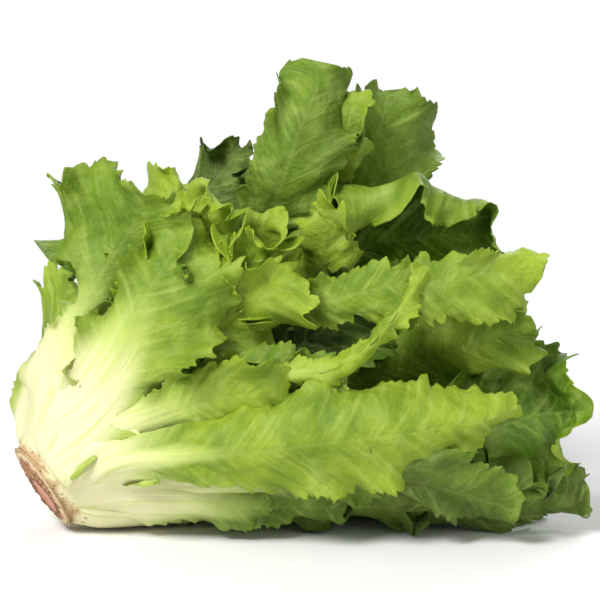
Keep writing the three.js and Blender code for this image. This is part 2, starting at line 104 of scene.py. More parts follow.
PLEAT_SIZE = (6.5, 45.0)
PLEAT_SLOPE = 0.95
PLEAT_HEIGHT = 1.7
VEIN_PITCH = 22.0
WHITE_RANGE = (0.1, 0.48)  # where the white of a stalk begins and ends to fade, along the leaf
FOOT_RANGE = (0.14, 0.3)  # the same for the foot, which is pale over its whole width
LEAST_HEIGHT = 0.05  # of any point above the floor
LEAF_BUMP = 0.0007  # heights of the shaded relief, in metres
CUT_BUMP = 0.0008
SEE_THROUGH = 0.32  # share of the light that shines through a thin blade
FLAT_SCALE = 100.0  # millimetres per unit of the flat map
MM = 0.001
TURN = 2.0 * np.pi

# ---- fused base and cut ----
BASE_LENGTH = 46.0
BASE_RINGS = 48
BASE_SIDES = 180
BASE_RADIUS = 24.6
BASE_REACH = 66.0
LEAST_BASE_RADIUS = 20.0
SOFT_BLUR = (9.0, 4.0)  # of the base radius, in cells round and along the foot
SHARP_BLUR = (2.2, 1.5)
BASE_SKIN = 0.9  # the base stands this far out over the stalks, and sinks below them where it ends
BASE_SINK = 3.0
RIM_ROUNDING = 3.6
BASE_TONE = 0.8
BASE_SEED = 50.0
CUT_RADIUS = BASE_RADIUS - 3.4
CUT_RINGS = 44
CUT_SIDES = 160
CUT_BULGE = 1.6
SCAB_RADIUS = 19.6
SCAB_ROUGHNESS = 0.55
RIM_STAIN = (0.0, 5.0)  # where the stain and the specks fade, as distance from the cut
RIM_SPECKS = (1.0, 7.5)
PITH_CENTRE = (0.0, -4.0)
PITH_SIZE = (12.0, 10.0)
PITH_DEPTH = 1.3
PITH_LIP = 0.5

# ---- view and light ----
VIEW_TARGET = (0.0, 0.0, 107.0)
VIEW_ELEVATION = 10.0
VIEW_DISTANCE = 2.2
VIEW_WIDTH = 0.3
SENSOR_WIDTH = 36.0
FLOOR_SIZE = 8.0
FLOOR_FADE = (0.25, 0.6)  # distances in metres
WORLD_LIGHT = 0.3
# name: place and size in metres, power in watts
LAMPS = {
    "key": ((-0.9, -1.3, 1.5), 0.9, 46.0),
    "fill": ((1.4, -1.2, 0.7), 1.2, 7.0),
    "back": ((0.5, 1.5, 1.1), 1.2, 20.0),
}

# ---- leaves ----
# azimuth: place around the core in degrees (0 front, 90 top, 180 back, 270 bottom).
# height: where the leaf leaves the core. layer: 1 for the leaves whose feet lie over their neighbours.
# path: midrib points after the foot. face and tip: where the inner face looks, at half and full length.
# length and lean: for a leaf without a path, its length and its angle to the axis at foot and tip.
# width: half widths of the two sides. base: half width of the foot.
# cup and lip: bend of each side in degrees, inwards over the whole side and outwards near its margin.
# blunt: how far along the leaf is widest, 0.7 by default. square: more than 2 gives a flatter tip.
# flare: above 1 the blade widens later. waist: how much the stalk narrows between foot and blade.
# neck: where the waist is, half way by default.
# ruffle: strength of the waves. teeth: size of the teeth, 1 by default.
# stout: thickness of stalk and rib, 1 by default. stalk: width of the pale stalk, 1 by default.
# white: where the white of the stalk begins and ends to fade. tone: 0 deep green to 1 light yellow-green.
# coarse: a leaf that hardly shows, with fewer rows.
# The first values of a row are its name, azimuth, height, width, base, cup, ruffle and tone. One number for
# width, cup, lip or ruffle stands for both sides. The seeds of the noise follow the order of the rows.
def pair(value):
    return value if isinstance(value, tuple) else (value, value)


def row(name, azimuth, height, width, base, cup, ruffle, tone, **others):
    return dict(name=name, azimuth=azimuth, height=height, width=pair(width), base=base, cup=cup,
                ruffle=ruffle, tone=tone, **others)


OUTER_LEAVES = [
    row("front_leaf", -10, 4, (31, 29), 8, (88, 20), 0.3, 0.8, layer=1,
        path=[(-90, -82, 42), (-56, -94, 48), (-20, -101, 51), (15, -104, 56), (65, -100, 62),
              (110, -87, 68)],
        face=(0, 0.97, 0.15), blunt=0.64, square=1.7, flare=1.6, teeth=1.25, white=(0.08, 0.34), stalk=0.8),
    row("upper_front_leaf", 54, 2, (22, 42), 27, (25, 20), 0.8, 0.72, layer=1,
        path=[(-110, -72, 64), (-95, -80, 86), (-80, -84, 112), (-67, -80, 136), (-58, -70, 160)],
        face=(0.35, 0.85, 0.1), flare=2.2, white=(0.3, 0.62)),
    row("left_back_leaf", 126, 2, (22, 26), 16, 10, 0.5, 0.62, layer=1,
        path=[(-137, -22, 54), (-132, -12, 68), (-126, -8, 80), (-120, -8, 100), (-114, -12, 124)],
        face=(0.6, 0.5, -0.1), blunt=0.75, teeth=1.3, white=(0.3, 0.62)),
    row("back_low_leaf", 204, 2, 46, 17, 30, 1.0, 0.45, length=210, lean=(26, 38), layer=1, blunt=0.68),
    # the low tone of this leaf is partly painted shade, for the part that shows low under the head
    row("bottom_leaf", 278, 2, (44, 40), 17, 10, 0.6, 0.2, length=238, lean=(33, 37), layer=1, blunt=0.66,
        coarse=True),
    row("front_low_leaf", -48, 2, (15, 17), 18, (25, 30), 0.4, 0.4,
        path=[(-93, -68, 21), (-62, -76, 22), (-35, -80, 21), (-14, -80, 19)],
        face=(0, 0.92, 0.25), blunt=0.86, teeth=0.5, white=(0.35, 0.95)),
    row("front_upper_leaf", 10, 2, (20, 22), 18, 25, 0.4, 0.8,
        path=[(-95, -78, 52), (-70, -86, 63), (-45, -91, 71), (-22, -93, 76), (-4, -92, 76)],
        face=(0, 0.95, 0.2), blunt=0.9, flare=4, waist=0.25, white=(0.2, 0.68)),
    row("top_outer_leaf", 78, 2, (43, 40), 21, 10, 0.9, 0.56,
        path=[(-126, -56, 60), (-125, -62, 80), (-115, -64, 99), (-103, -62, 120), (-93, -60, 138),
              (-84, -65, 156), (-78, -75, 173)],
        face=(0.35, 0.9, -0.1), tip=(0.3, 0.9, 0.3), blunt=0.84, flare=5, waist=0.72, neck=0.66, teeth=1.3,
        white=(0.26, 0.62)),
    row("back_outer_leaf", 166, 3, 42, 15, 30, 1.0, 0.55, length=180, lean=(20, 42)),
    row("bottom_back_leaf", 240, 3, 47, 15, (12, 20), 0.7, 0.4, length=228, lean=(35, 42), blunt=0.66,
        coarse=True),
]

INNER_LEAVES = [
    row("low_front_leaf", -60, 12, (16, 13), 16, 10, 0.8, 0.2,
        path=[(-77, -62, 18), (-42, -70, 20), (0, -74, 21), (24, -72, 18)],
        face=(0, 0.85, 0.45), blunt=0.78),
    row("front_upper_inner_leaf", 10, 24, (24, 22), 14, (20, 30), 0.7, 0.5,
        path=[(-72, -72, 60), (-40, -78, 70), (-5, -80, 76), (22, -78, 82)],
        face=(0, 0.95, 0.2), blunt=0.6, flare=2.5, white=(0.3, 0.6)),
    row("ruffled_leaf_left", 66, 20, (24, 26), 16, 10, 1.2, 0.95,
        path=[(-98, -50, 86), (-82, -50, 118), (-68, -48, 150), (-56, -42, 176)],
        face=(0.35, 0.85, -0.1), tip=(0.3, 0.5, 0.4)),
    row("ruffled_leaf_middle", 44, 28, 26, 14, (20, 10), 1.6, 0.95,
        path=[(-80, -54, 92), (-62, -58, 122), (-46, -60, 150), (-38, -66, 170)],
        face=(0.3, 0.9, 0), tip=(0.2, 0.6, 0.4)),
    row("ruffled_leaf_right", 26, 36, 26, 13, (20, 10), 1.6, 0.95,
        path=[(-64, -56, 86), (-40, -62, 112), (-22, -64, 138), (-10, -70, 160)],
        face=(0.3, 0.9, 0), tip=(0.2, 0.6, 0.4)),
    row("ruffled_leaf_low", 16, 32, 24, 13, (15, 10), 1.2, 0.72,
        path=[(-70, -66, 76), (-45, -72, 98), (-20, -76, 117), (2, -76, 128)],
        face=(0.2, 0.95, 0)),
    row("dark_top_leaf", 104, 20, 24, 16, 10, 1.0, 0.15,
        path=[(-98, -10, 95), (-68, 2, 135), (-41, 8, 165), (-25, 6, 188)],
        face=(0.4, 0.8, -0.2)),
    row("low_fold_leaf", -34, 22, (20, 17), 14, 20, 0.5, 0.2,
        path=[(-58, -74, 28), (0, -88, 33), (60, -93, 33), (106, -89, 17)],
        face=(0, 0.85, 0.45)),
    # the very low tone of this leaf is painted shade: it lies low under the head, in the shadow of the
    # leaves above
    row("low_tip_leaf", -68, 20, 24, 14, 10, 0.9, 0.05,
        path=[(-60, -60, 18), (0, -62, 17), (70, -62, 16), (146, -54, 19)],
        face=(0, 0.8, 0.6)),
    row("top_leaf_left", 78, 42, (20, 28), 12, (20, 10), 0.6, 0.3,
        path=[(-58, -18, 105), (-28, -30, 142), (-10, -40, 168), (-3, -42, 184), (2, -40, 201),
              (7, -34, 217), (10, -26, 231)],
        face=(-0.2, 0.95, 0.1), blunt=0.92, square=5, flare=2.6, teeth=0.8),
    row("top_leaf_middle", 112, 40, (14, 12), 12, 10, 1.0, 0.85,
        path=[(-45, 10, 110), (-8, -6, 143), (14, -20, 165), (21, -25, 187), (26, -22, 207),
              (31, -18, 217)],
        face=(-0.1, 1, 0), blunt=0.75),
    row("top_leaf_right", 72, 56, (20, 34), 11, (10, 20), 0.7, 0.35,
        path=[(-40, 0, 105), (0, -4, 140), (25, -10, 160), (33, -10, 180), (40, -8, 200), (46, -2, 217)],
        face=(0, 1, 0), blunt=0.9, flare=2),
    row("right_upper_leaf", 120, 62, (30, 58), 10, 20, 0.7, 0.6,
        path=[(-40, -6, 90), (0, -10, 116), (34, -14, 134), (66, -16, 142), (101, -18, 147)],
        face=(0, -0.9, -0.4), lip=(0, -100), blunt=0.8, flare=0.8),
    row("right_band_leaf", 20, 60, (12, 23), 10, 15, (0.8, 0.35), 0.76,
        path=[(-32, -38, 90), (0, -62, 114), (22, -76, 122), (50, -80, 129), (78, -76, 131),
              (100, -72, 131), (119, -68, 130)],
        face=(0, 0.95, -0.1), blunt=0.97, square=6, flare=3),
    row("right_scoop_leaf", 155, 54, 26, 10, 15, 0.5, 0.3,
        path=[(-50, -42, 74), (-12, -56, 86), (8, -58, 100), (28, -58, 112), (44, -60, 126)],
        face=(0, -0.95, 0.1), blunt=0.75, flare=0.8),
    row("right_middle_leaf", 10, 52, (24, 26), 9, (20, 10), 0.9, 0.68,
        path=[(-30, -26, 64), (10, -10, 66), (45, -14, 74), (78, -44, 92), (115, -58, 107)],
        face=(0, 0.95, 0.1), blunt=0.86, flare=4.5),
    row("right_tip_leaf", -20, 44, (42, 40), 12, 80, 0.8, 0.6,
        path=[(-30, -40, 48), (30, -42, 46), (85, -44, 50), (120, -42, 57), (136, -50, 60),
              (144, -60, 60)],
        face=(0, -0.9, 0.2), tip=(-0.4, -0.85, 0.2), lip=90, blunt=0.84, square=3, flare=3),
    row("back_leaf_upper", 146, 22, 40, 15, 30, 1.0, 0.5, length=210, lean=(10, 42)),
    row("back_leaf_middle", 186, 24, 43, 15, 30, 1.0, 0.55, length=225, lean=(12, 42)),
    row("back_leaf_low", 226, 20, 44, 15, 25, 1.0, 0.45, length=228, lean=(22, 38), coarse=True),
    row("back_leaf_top", 124, 30, 36, 14, 30, 1.0, 0.55, length=212, lean=(8, 30)),
    row("bottom_leaf_inner", 258, 22, 42, 15, 20, 0.7, 0.4, length=230, lean=(20, 31), coarse=True),
    row("inner_leaf_upper", 164, 44, 35, 12, 30, 0.9, 0.6, length=200, lean=(6, 34), coarse=True),
    row("inner_leaf_top", 132, 50, 32, 12, 30, 0.9, 0.65, length=195, lean=(4, 24), coarse=True),
    row("inner_leaf_back", 212, 48, 34, 12, 30, 0.9, 0.6, length=200, lean=(8, 32), coarse=True),
    row("inner_leaf_low", 258, 52, 32, 11, 30, 0.8, 0.55, length=190, lean=(8, 28), coarse=True),
    row("inner_leaf_front", 306, 58, 28, 10, 30, 0.8, 0.6, length=170, lean=(4, 26), coarse=True),
    row("heart_leaf_upper", 100, 74, (13, 15), 8, 20, 0.8, 0.95,
        path=[(-30, -20, 90), (-5, -36, 112), (10, -46, 132), (10, -52, 150), (4, -54, 166)],
        face=(0, 0.9, -0.2)),
    row("heart_leaf_back", 220, 80, 24, 7, 45, 0.8, 0.8, length=130, lean=(2, 22), coarse=True),
    row("right_curl_leaf", 350, 86, 6, 7, (40, 70), 0.6, 0.85,
        path=[(-34, -60, 78), (-10, -84, 85), (12, -90, 88), (31, -90, 97), (46, -89, 112),
              (56, -87, 126), (62, -82, 142)],
        face=(0.2, 0.9, -0.3), flare=0.6),
    row("small_leaf_left", 58, 34, (15, 14), 10, 30, 1.3, 1.15,
        path=[(-88, -56, 100), (-72, -64, 130), (-64, -68, 150), (-60, -68, 174)],
        face=(0.2, -0.9, 0.2), blunt=0.75),
    row("small_leaf_middle", 40, 44, (14, 13), 10, 30, 1.4, 1.2,
        path=[(-66, -58, 96), (-50, -68, 118), (-42, -74, 132), (-30, -80, 144)],
        face=(0, -0.8, 0.5), blunt=0.75),
    row("small_leaf_right", 30, 50, (11, 13), 9, 30, 1.4, 1.15,
        path=[(-50, -52, 96), (-34, -64, 120), (-24, -74, 140), (-14, -78, 160)],
        face=(0, -0.9, 0.2), blunt=0.75),
]

STALK_FLAPS = [
    row("stalk_flap_upper", 20, 10, 4, 2, (120, 30), 0.4, 1.1, coarse=True,
        path=[(-112, -70, 36), (-109, -80, 37), (-104, -86, 42), (-98, -87, 48)],
        face=(0.6, 0.7, -0.5), blunt=0.6, square=1.5, teeth=0.2, stout=0.1, white=(0.2, 1.1), stalk=0.0),
    row("stalk_flap_lower", -20, 12, (4, 3), 2, (120, 30), 0.6, 1.0, coarse=True,
        path=[(-88, -74, 32), (-80, -86, 33), (-73, -91, 35), (-65, -92, 37)],
        face=(0.2, 0.8, -0.5), blunt=0.6, square=1.5, teeth=0.3, stout=0.1, white=(0.2, 1.1), stalk=0.0),
]

LEAVES = OUTER_LEAVES + INNER_LEAVES + STALK_FLAPS
FIRST_SEED = 3
for seed, leaf in enumerate(LEAVES, FIRST_SEED):
    leaf["seed"] = seed


# ---- directions of the head ----
def unit(vectors):
    vectors = np.asarray(vectors, float)
    return vectors / np.maximum(np.linalg.norm(vectors, axis=-1, keepdims=True), 1e-9)


def smooth(low, high, x):
    t = np.clip((np.asarray(x, float) - low) / (high - low), 0.0, 1.0)
    return t * t * (3.0 - 2.0 * t)


axis = unit(AXIS)
frontward = unit(np.array([0.0, -1.0, 0.0]) + axis * axis[1])
upward = np.cross(frontward, axis)


def around(azimuth):
    angle = np.radians(np.asarray(azimuth, float))[..., None]
    return frontward * np.cos(angle) + upward * np.sin(angle)


def core_radius(height):
    left = np.maximum(0.0, 1.0 - np.asarray(height, float) / CORE_LENGTH)
    return (CORE_RADIUS - CORE_TIP_RADIUS) * left**CORE_TAPER + CORE_TIP_RADIUS


def foot_radius(leaf):
    return float(core_radius(leaf["height"])) + GAP + leaf.get("layer", 0) * LAYER_STEP


def frame_shift():
    """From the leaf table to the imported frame, which is centred on the bounding box of the head."""
    low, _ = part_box("stump")
    rim = CUT_CENTRE + around(np.arange(24) * 15.0) * CORE_RADIUS
    return np.array(low) / MM - np.minimum(rim.min(0), CUT_CENTRE - axis * CUT_DOME)


# ---- midrib ----
def midrib_points(leaf):
    out = around(leaf["azimuth"])
    foot = CUT_CENTRE + axis * leaf["height"] + out * foot_radius(leaf)
    if "path" in leaf:
        shoulder = foot + axis * SHOULDER_RISE + out * SHOULDER_REACH
        return np.array([foot, shoulder, *leaf["path"]], float)
    points = [foot]
    for i in range(LEAN_STEPS):
        along = ((i + 0.5) / LEAN_STEPS) ** LEAN_TAPER
        lean = math.radians(leaf["lean"][0] + (leaf["lean"][1] - leaf["lean"][0]) * along)
        direction = axis * math.cos(lean) + out * math.sin(lean)
        points.append(points[-1] + direction * leaf["length"] / LEAN_STEPS)
    return np.array(points)


def curve_through(points):
    """Centripetal Catmull-Rom curve."""
    p = np.vstack([2 * points[0] - points[1], points, 2 * points[-1] - points[-2]])
    t = np.linspace(0.0, 1.0, CURVE_STEPS, endpoint=False)[:, None]
    pieces = []
    for a, b, c, d in zip(p, p[1:], p[2:], p[3:]):
        ab, bc, cd = (np.linalg.norm(q) ** 0.5 for q in (b - a, c - b, d - c))
        start = ((b - a) / ab - (c - a) / (ab + bc) + (c - b) / bc) * bc
        end = ((c - b) / bc - (d - b) / (bc + cd) + (d - c) / cd) * bc
        bend = 3 * (c - b) - 2 * start - end
        twist = 2 * (b - c) + start + end
        pieces.append(b + start * t + bend * t**2 + twist * t**3)
    return np.vstack(pieces + [points[-1:]])


class Midrib:
    """Position, direction, side and inner-face direction along the midrib, by distance from the foot."""

    def __init__(self, leaf):
        self.points = curve_through(midrib_points(leaf))
        steps = np.linalg.norm(np.diff(self.points, axis=0), axis=1)
        self.distance = np.concatenate([[0.0], np.cumsum(steps)])
        self.length = self.distance[-1]
        self.forward = unit(np.gradient(self.points, axis=0))
        along = (self.distance / self.length)[:, None]
        inward = -around(leaf["azimuth"])
        middle = unit(leaf.get("face", inward))
        end = unit(leaf.get("tip", middle))
        early = smooth(0.02, 0.5, along)
        late = smooth(0.5, 1.0, along)
        inner = (inward * (1 - early) + middle * early) * (1 - late) + end * late
        inner -= (inner * self.forward).sum(1)[:, None] * self.forward
        self.inner = unit(inner)
        self.side = np.cross(self.forward, self.inner)

    def at(self, values, distance):
        inside = np.clip(distance, 0.0, self.length)
        return np.stack([np.interp(inside, self.distance, values[:, k]) for k in range(3)], -1)


# ---- margin ----
def half_width(leaf, side, along):
    widest = leaf.get("blunt", 0.7)
    part = np.clip(along / widest, 0.0, 1.0)
    rise = smooth(0.0, 1.0, part) ** leaf.get("flare", 1.1)
    from_neck = (part - leaf.get("neck", 0.5)) / NECK_WIDTH
    waist = 1.0 - leaf.get("waist", 0.0) * np.exp(-(from_neck**2))
    lower = (leaf["base"] + (leaf["width"][side] - leaf["base"]) * rise) * waist
    over = np.clip((along - widest) / (1.0 - widest), 0.0, 1.0)
    square = leaf.get("square", TIP_SQUARENESS)
    upper = leaf["width"][side] * (1.0 - over**square) ** (1.0 / square)
    return np.where(along <= widest, lower, upper)


def outline(leaf, side, length, rows):
    """Flat margin of half a leaf from foot to tip: across, along and distance run."""
    widest = leaf.get("blunt", 0.7)
    straight = widest * length
    round_part = 0.8 * (leaf["width"][side] + length - straight)
    turn = straight / (straight + round_part)
    place = np.linspace(0.0, 1.0, rows + 1)
    along = np.clip(place / turn, 0.0, 1.0) * widest
    angle = np.clip((place - turn) / (1.0 - turn), 0.0, 1.0) * np.pi / 2
    before = place < turn
    square = leaf.get("square", TIP_SQUARENESS)
    cosine = np.maximum(np.cos(angle), 0.0) ** (2.0 / square)
    sine = np.sin(angle) ** (2.0 / square)
    across = np.where(before, half_width(leaf, side, along), leaf["width"][side] * cosine)
    ahead = np.where(before, along * length, straight + (length - straight) * sine)
    run = np.concatenate([[0.0], np.cumsum(np.hypot(np.diff(across), np.diff(ahead)))])
    return across, ahead, run


def saw(x):
    """A tooth that rises slowly and drops quickly, about zero."""
    part = x - np.floor(x)
    return np.where(part < TOOTH_RISE, part / TOOTH_RISE, (1.0 - part) / (1.0 - TOOTH_RISE)) - 0.42


def teeth(leaf, run, phases):
    """How far the margin stands out: broad lobes with small teeth on them, none quite like the next."""
    lobes = run / LOBE_PITCH + 0.2 * np.sin(run / 31.0 + phases[0])
    large = run / TOOTH_PITCH + 0.35 * np.sin(run / 19.0 + phases[1]) + 0.2 * np.sin(run / 7.3 + phases[2])
    fullness = 0.75 + 0.4 * np.sin(run / 17.0 + phases[3]) + 0.3 * np.sin(run / 7.0 + phases[4])
    points = run / POINT_PITCH + 0.4 * np.sin(run / 5.0 + phases[2])
    depth = LOBE_DEPTH * saw(lobes) + TOOTH_DEPTH * saw(large) * np.clip(fullness, 0.2, 1.5)
    return leaf.get("teeth", 1.0) * (depth + POINT_DEPTH * saw(points))


def row_roots(leaf, length, rows):
    """Where on the midrib each row of the blade starts."""
    roots = np.zeros(rows + 1)
    for side in (0, 1):
        edge_x, edge_y, _ = outline(leaf, side, length, rows)
        roots += 0.5 * (edge_y - ROW_SLOPE * edge_x * smooth(0.0, 0.35, edge_y / length))
    return np.clip(roots - TIP_ROOM * length * np.linspace(0.0, 1.0, rows + 1) ** 3, 0.0, length)


def flat_side(leaf, side, length, grid, phases):
    """One side of the blade laid flat: across, along, share of the way to the margin, and the margin."""
    rows, columns = grid
    roots = row_roots(leaf, length, rows)
    edge_x, edge_y, run = outline(leaf, side, length, rows)
    share = 1.0 - (1.0 - np.linspace(0.0, 1.0, columns + 1)) ** 1.4
    part = np.tile(share, (rows + 1, 1))
    place = np.linspace(0.0, 1.0, rows + 1)
    out = unit(np.stack([np.gradient(edge_y), -np.gradient(edge_x)], -1))
    tooth = teeth(leaf, run, phases) * smooth(0.25, 0.5, edge_y / length) * (1.0 - smooth(0.97, 1.0, place))
    tooth_x = (out[:, 0] - TOOTH_SLANT * out[:, 1]) * tooth * (edge_x > 0.5)
    tooth_y = (out[:, 1] + TOOTH_SLANT * out[:, 0]) * tooth
    x = np.maximum(part * edge_x[:, None] + tooth_x[:, None] * part**6, 0.0)
    y = roots[:, None] + part * (edge_y - roots)[:, None] + tooth_y[:, None] * part**6
    return x, y, part, edge_x, edge_y, run


# ---- blade ----
def value_noise(x, y, size, seed):
    """Smooth noise from -1 to 1 with cells of one size."""
    table = np.random.RandomState(seed).uniform(-1.0, 1.0, (64, 64))
    x, y = x / size + 20, y / size + 20
    i, j = np.floor(x).astype(int), np.floor(y).astype(int)
    u, v = smooth(0.0, 1.0, x - i), smooth(0.0, 1.0, y - j)
    near = table[i % 64, j % 64] * (1 - u) + table[(i + 1) % 64, j % 64] * u
    far = table[i % 64, (j + 1) % 64] * (1 - u) + table[(i + 1) % 64, (j + 1) % 64] * u
    return near * (1 - v) + far * v


def thickness_at(leaf, x, y, along):
    stalk = STALK_THICKNESS[leaf.get("layer", 0)] * (1.0 - smooth(0.0, STALK_END, along)) ** 1.5
    fullness = smooth(0.0, RIB_START, along) * np.clip(1.0 - along, 0.0, 1.0) ** 1.5
    rib = RIB_THICKNESS * fullness * np.exp(-((x / RIB_WIDTH) ** 2))
    foot = 0.4 + 0.6 * smooth(0.0, FOOT_TAPER, y)
    return BLADE_THICKNESS + leaf.get("stout", 1.0) * (stalk + rib) * foot


def side_value(leaf, key, side, at_tip):
    """A leaf's value for one side, which goes over to the mean of both sides at the tip."""
    both = pair(leaf.get(key, 0))
    return both[side] * (1.0 - at_tip) + sum(both) / 2 * at_tip


def shape_turn(leaf, midrib, side, x, y, part, at_tip):
    """How far the rows have turned towards the inner face by wrap, cup and lip, in radians."""
    along = np.clip(y / midrib.length, 0.0, 1.0)
    off_axis = midrib.at(midrib.points, y) - CUT_CENTRE
    off_axis = off_axis - (off_axis @ axis)[..., None] * axis
    least = max(foot_radius(leaf), LEAST_WRAP_RADIUS)
    wrap_radius = np.maximum(np.linalg.norm(off_axis, axis=-1), least)
    wrap = x / wrap_radius * (1.0 - smooth(*STALK_WRAP, along))
    cup = np.radians(side_value(leaf, "cup", side, at_tip)) * part
    lip = np.radians(side_value(leaf, "lip", side, at_tip)) * smooth(*LIP_PLACE, part)
    return wrap + (cup - lip) * smooth(*CUP_START, along)


def ruffle_turn(distance, part, waves):
    """How far the rows turn by ruffles of four lengths, in radians, and the angle of the main wave."""
    slow = TURN * distance / SLOW_WAVE + waves[1]
    main = TURN * distance / MAIN_WAVE + 0.9 * np.sin(distance / 41.0 + waves[2]) + waves[3]
    quick = TURN * distance / QUICK_WAVE + 0.8 * np.sin(distance / 13.0 + waves[4])
    crimp = TURN * distance / CRIMP_WAVE + 1.5 * np.sin(distance / 19.0 + waves[2])
    crimp_height = 0.6 + 0.4 * np.sin(distance / 27.0 + waves[4])
    turn = SLOW_TURN * np.sin(slow) * smooth(0.1, 0.9, part)
    turn = turn + MAIN_TURN * np.sin(main) * smooth(0.3, 1.0, part)
    turn = turn + QUICK_TURN * np.sin(quick) * smooth(0.62, 1.0, part)
    turn = turn + CRIMP_TURN * np.sin(crimp) * crimp_height * smooth(0.76, 1.0, part)
    return np.radians(turn), main


def half_sheet(leaf, midrib, side, grid, waves, phases):
    """One side of the blade as grids: place in space, flat place, and share of the way to the margin."""
    length = midrib.length
    sign = 1.0 if side == 0 else -1.0
    x, y, part, edge_x, edge_y, run = flat_side(leaf, side, length, grid, phases)
    at_tip = smooth(0.75, 1.0, np.linspace(0.0, 1.0, len(x)))[:, None]
    from_tip = (sign * (run[-1] - run))[:, None]
    strength = side_value(leaf, "ruffle", side, at_tip) * smooth(0.12, 0.5, edge_y / length)[:, None]
    strength = strength * (0.8 + 0.3 * np.sin(from_tip / 33.0 + waves[0]))
    ruffles, main_angle = ruffle_turn(from_tip, part, waves)
    turn = shape_turn(leaf, midrib, side, x, y, part, at_tip) + strength * ruffles

    # each row adds up small steps in the direction that it has turned to
    turn = 0.5 * (turn[:, 1:] + turn[:, :-1])
    start = np.zeros((len(x), 1))
    step_x, step_y = np.diff(x, axis=1), np.diff(y, axis=1)
    aside = sign * np.hstack([start, np.cumsum(np.cos(turn) * step_x, axis=1)])
    ahead = np.hstack([start, np.cumsum(np.cos(turn) * step_y, axis=1)]) + y[:, :1]
    up = np.hstack([start, np.cumsum(np.sin(turn) * np.hypot(step_x, step_y), axis=1)])
    sway = sign * 0.16 * edge_x[:, None] * np.sin(main_angle + 1.9) * smooth(0.35, 1.0, part)
    ahead = ahead + strength * sway

    rumpled = strength * smooth(0.3, 0.85, np.clip(y / length, 0.0, 1.0))
    for k, (size, height) in enumerate(RUMPLE_SIZES):
        seed = leaf["seed"] * 10 + 3 * k
        push = [value_noise(sign * x, y, size, seed + n) for n in range(3)]
        ahead = ahead + 0.6 * height * rumpled * push[0]
        aside = aside + 0.6 * height * rumpled * push[1]
        up = up + height * rumpled * push[2]
    beyond = ahead - np.clip(ahead, 0.0, length)
    points = (
        midrib.at(midrib.points, ahead)
        + midrib.at(midrib.forward, ahead) * beyond[..., None]
        + midrib.at(midrib.side, ahead) * aside[..., None]
        + midrib.at(midrib.inner, ahead) * up[..., None]
    )
    return points, sign * x, y, part


def quads_of(*corners):
    """Quads from the vertex numbers of their corners, given as grids."""
    return np.stack(corners, -1).reshape(-1, 4)


def sheet_faces(index):
    right, left = index
    return np.vstack([
        quads_of(right[:-1, :-1], right[:-1, 1:], right[1:, 1:], right[1:, :-1]),
        quads_of(left[:-1, :-1], left[1:, :-1], left[1:, 1:], left[:-1, 1:]),
    ])


def vertex_normals(points, quads):
    corners = points[quads]
    face = np.cross(corners[:, 2] - corners[:, 0], corners[:, 3] - corners[:, 1])
    normals = np.zeros_like(points)
    for k in range(4):
        np.add.at(normals, quads[:, k], face)
    return unit(normals)


def stalk_paint(leaf, x, along):
    """How much of the pale stalk shows, and how white the leaf is, from 0 to 1."""
    from_white, to_white = leaf.get("white", WHITE_RANGE)
    stalk = np.maximum(leaf["base"] * (1.35 - along / to_white), 0.0) * leaf.get("stalk", 1.0)
    pale = 1.0 - smooth(0.5 * stalk, 1.2 * stalk + 3.0, np.abs(x))
    pale *= 1.0 - smooth(from_white + 0.15, to_white + 0.15, along)
    pale = np.maximum(pale, 1.0 - smooth(*FOOT_RANGE, along))
    return pale, 1.0 - smooth(from_white, to_white, along)


def blisters(leaf, x, y, part):
    """Height of the puckers and of the pleats that run out to the margin."""
    height = np.zeros(len(x))
    for k, (size, most) in enumerate(PUCKER_SIZES):
        height += (np.abs(value_noise(x, y, size, leaf["seed"] + k)) - 0.3) * most
    across = np.abs(x)
    over_pleats = np.sign(x) + (y - PLEAT_SLOPE * across) / PLEAT_SIZE[0] + 20
    pleats = value_noise(over_pleats, across / PLEAT_SIZE[1], 1.0, leaf["seed"] + 5)
    return height + PLEAT_HEIGHT * smooth(0.15, 0.7, part) * pleats


def leaf_surface(leaf):
    """Inner and outer sheet of a leaf, its flat map and its grid of vertex numbers."""
    grid = COARSE_GRID if leaf.get("coarse") else FINE_GRID
    rows, columns = grid
    random = np.random.RandomState(leaf["seed"])
    midrib = Midrib(leaf)
    waves = random.uniform(0.0, 6.28, 5)
    halves = [half_sheet(leaf, midrib, side, grid, waves, random.uniform(0.0, 6.28, 5)) for side in (0, 1)]

    # the two halves share the midrib, and the line where they meet beyond it at the tip
    index = np.arange(2 * (rows + 1) * (columns + 1)).reshape(2, rows + 1, columns + 1)
    index[1, :, 0] = index[0, :, 0]
    index[1, rows, :] = index[0, rows, :]
    used, index = np.unique(index, return_inverse=True)
    index = index.reshape(2, rows + 1, columns + 1)
    points = np.stack([half[0] for half in halves]).reshape(-1, 3)[used]
    x, y, part = (np.stack([half[k] for half in halves]).ravel()[used] for k in (1, 2, 3))
    quads = sheet_faces(index)

    along = np.clip(y / midrib.length, 0.0, 1.0)
    pale, white = stalk_paint(leaf, x, along)
    blister = blisters(leaf, x, y, part) * smooth(0.12, 0.35, along) * (1.0 - pale)
    points = points + vertex_normals(points, quads) * blister[:, None]
    thickness = thickness_at(leaf, x, y, along)
    above = (points[:, 2] - thickness) / FLOOR_SOFTNESS
    points[:, 2] = thickness + FLOOR_SOFTNESS * np.logaddexp(0.0, above)
    outer = points - vertex_normals(points, quads) * thickness[:, None]
    outer[:, 2] = np.maximum(outer[:, 2], LEAST_HEIGHT)
    return dict(inner=points, outer=outer, x=x, y=y, part=part, pale=pale, white=white,
                index=index, quads=quads)


